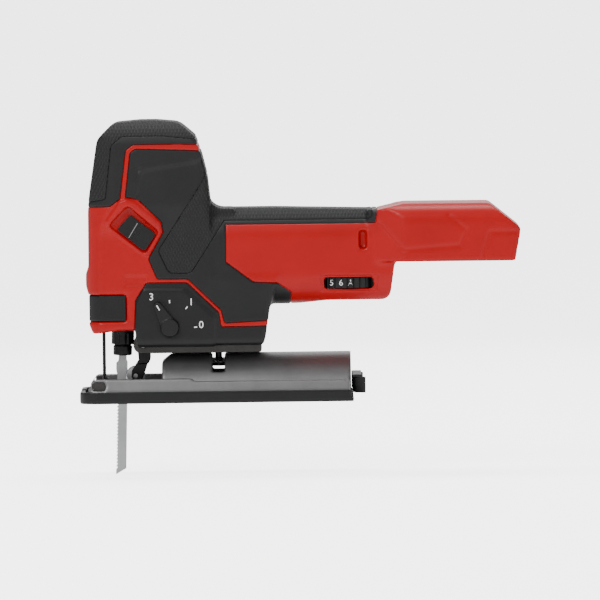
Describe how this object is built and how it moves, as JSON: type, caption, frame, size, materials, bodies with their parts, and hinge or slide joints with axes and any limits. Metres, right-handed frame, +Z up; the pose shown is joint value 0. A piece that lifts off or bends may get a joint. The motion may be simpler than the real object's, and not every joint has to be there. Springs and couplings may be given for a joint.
{
  "type": "cordless jigsaw",
  "caption": "Barrel-grip cordless jigsaw without its battery: plunger with toothed blade, guide roller, bevelling shoe, thumb slide switch and speed dial.",
  "frame": {"origin": "on the sole plane, where the blade's centre line crosses it, on the tool's mid-plane", "axes": "+Z up from the sole, +X to the rear of the tool (the blade's teeth face -X), -Y on the operator's left, where the orbit selector is"},
  "size_m": [0.3173, 0.084, 0.2552],
  "materials": {
    "red_plastic": "moulded red plastic with a fine texture",
    "black_rubber": "soft textured overmould",
    "dark_plastic": "dark grey moulded plastic",
    "cast_grey": "die-cast, lightly blasted",
    "steel": "ground steel",
    "dark_steel": "blackened steel",
    "blade_steel": "bright ground blade steel",
    "bronze": "sintered bronze",
    "copper": "lacquered copper wire",
    "laminate": "stacked electrical steel",
    "board_green": "printed circuit board",
    "clear_plastic": "clear lamp lens"
  },
  "bodies": {
    "housing": {"housing_left": "red_plastic", "housing_right": "red_plastic", "front_cap_grip": "black_rubber", "grip_left": "black_rubber", "grip_right": "black_rubber", "lower_cover_left": "dark_plastic", "lower_cover_right": "dark_plastic", "screws": "dark_steel", "gear_case": "cast_grey", "gear_axle": "steel", "front_motor_bearing": "steel", "rear_motor_bearing": "steel", "rear_bearing_plate": "dark_plastic", "motor_stator": "laminate", "motor_windings": "copper", "frame_pivot_pins": "steel", "dial_axle": "dark_plastic", "control_board": "board_green", "terminal_block": "dark_plastic", "terminal_blades": "bronze", "switch_module": "dark_plastic", "foot_bracket": "dark_steel", "fork_pivot_pin": "steel", "release_pin": "steel", "work_lamp": "clear_plastic", "guard_wire": "dark_steel", "bevel_bolt": "dark_steel", "clamp_washer": "steel"},
    "rotor": {"rotor": "laminate", "rotor_shaft": "steel", "pinion": "steel", "cooling_fan": "dark_plastic"},
    "gear": {"drive_gear": "steel", "eccentric_pin": "steel"},
    "counterweight": {"counterweight": "steel"},
    "swing_frame": {"guide_frame": "cast_grey", "upper_bush": "bronze", "lower_bush": "bronze"},
    "plunger": {"plunger_rod": "steel", "scotch_yoke": "steel", "clamp_body": "dark_steel", "collar_spring": "steel"},
    "clamp_collar": {"clamp_collar": "dark_steel"},
    "blade": {"blade": "blade_steel"},
    "fork": {"guide_fork": "dark_steel", "roller_pin": "steel"},
    "roller": {"guide_roller": "steel"},
    "shoe": {"shoe_plate": "cast_grey", "shoe_cover": "dark_plastic", "blade_insert": "clear_plastic", "lever_pin": "steel"},
    "bevel_lever": {"bevel_lever": "dark_plastic"},
    "draw_bar": {"draw_bar": "steel"},
    "power_switch": {"switch_slider_left": "dark_plastic", "switch_slider_right": "dark_plastic", "switch_bridge": "dark_plastic"},
    "speed_dial": {"speed_dial": "dark_plastic"},
    "orbit_selector": {"orbit_lever": "dark_plastic", "orbit_cam_shaft": "steel"},
    "release_lever": {"release_lever": "dark_plastic"}
  },
  "joints": [
    {"name": "shoe_bevel", "type": "hinge", "parent": "housing", "child": "shoe", "pos_m": [0.07, 0, 0.002], "axis": [1, 0, 0], "range_deg": [-45, 45]},
    {"name": "bevel_lock", "type": "hinge", "parent": "shoe", "child": "bevel_lever", "pos_m": [0.1698, 0.031, 0.011], "axis": [0, 0, 1], "range_deg": [0, 100]},
    {"name": "draw_slide", "type": "slide", "parent": "shoe", "child": "draw_bar", "axis": [1, 0, 0], "range_m": [0, 0.0016]},
    {"name": "frame_swing", "type": "hinge", "parent": "housing", "child": "swing_frame", "pos_m": [0.00424, 0, 0.162], "axis": [0, -1, 0], "range_deg": [0, 0.55]},
    {"name": "plunger_stroke", "type": "slide", "parent": "swing_frame", "child": "plunger", "axis": [0.0262, 0, 0.9997], "range_m": [-0.007, 0.0184]},
    {"name": "counterweight_slide", "type": "slide", "parent": "housing", "child": "counterweight", "axis": [0.0262, 0, 0.9997], "range_m": [-0.0185, 0.0071]},
    {"name": "gear_spin", "type": "hinge", "parent": "housing", "child": "gear", "pos_m": [0.0245, 0, 0.1362], "axis": [1, 0, 0], "continuous": true},
    {"name": "rotor_spin", "type": "hinge", "parent": "housing", "child": "rotor", "pos_m": [0.08, 0, 0.104], "axis": [1, 0, 0], "continuous": true},
    {"name": "collar_turn", "type": "hinge", "parent": "plunger", "child": "clamp_collar", "pos_m": [0.00126, 0, 0.048], "axis": [0.0262, 0, 0.9997], "range_deg": [-36, 0]},
    {"name": "blade_release", "type": "slide", "parent": "plunger", "child": "blade", "axis": [-0.0262, 0, -0.9997], "range_m": [0, 0.017]},
    {"name": "fork_swing", "type": "hinge", "parent": "housing", "child": "fork", "pos_m": [0.0158, 0, 0.0409], "axis": [0, -1, 0], "range_deg": [0, 3.6]},
    {"name": "roller_spin", "type": "hinge", "parent": "fork", "child": "roller", "pos_m": [0.0101, 0, 0.0183], "axis": [0, 1, 0], "continuous": true},
    {"name": "switch_slide", "type": "slide", "parent": "housing", "child": "power_switch", "axis": [-0.7413, 0, 0.6712], "range_m": [0, 0.0045]},
    {"name": "dial_turn", "type": "hinge", "parent": "housing", "child": "speed_dial", "pos_m": [0.164, 0, 0.084], "axis": [0, 0, 1], "range_deg": [0, 270]},
    {"name": "orbit_select", "type": "hinge", "parent": "housing", "child": "orbit_selector", "pos_m": [0.0356, -0.03, 0.054], "axis": [0, 1, 0], "range_deg": [0, 121]},
    {"name": "blade_lever", "type": "hinge", "parent": "housing", "child": "release_lever", "pos_m": [-0.0181, 0.016, 0.068], "axis": [0, 0, -1], "range_deg": [0, 60], "stiffness_Nm_per_rad": 0.02}
  ],
  "couplings": [
    {"joint": "rotor_spin", "follows": "gear_spin", "ratio": -6.2727},
    {"joint": "counterweight_slide", "follows": "plunger_stroke", "ratio": -1},
    {"joint": "fork_swing", "follows": "frame_swing", "ratio": 6.4},
    {"joint": "draw_slide", "follows": "bevel_lock", "m_per_rad": 0.0009},
    {"joint": "collar_turn", "follows": "blade_lever", "ratio": -0.6}
  ]
}
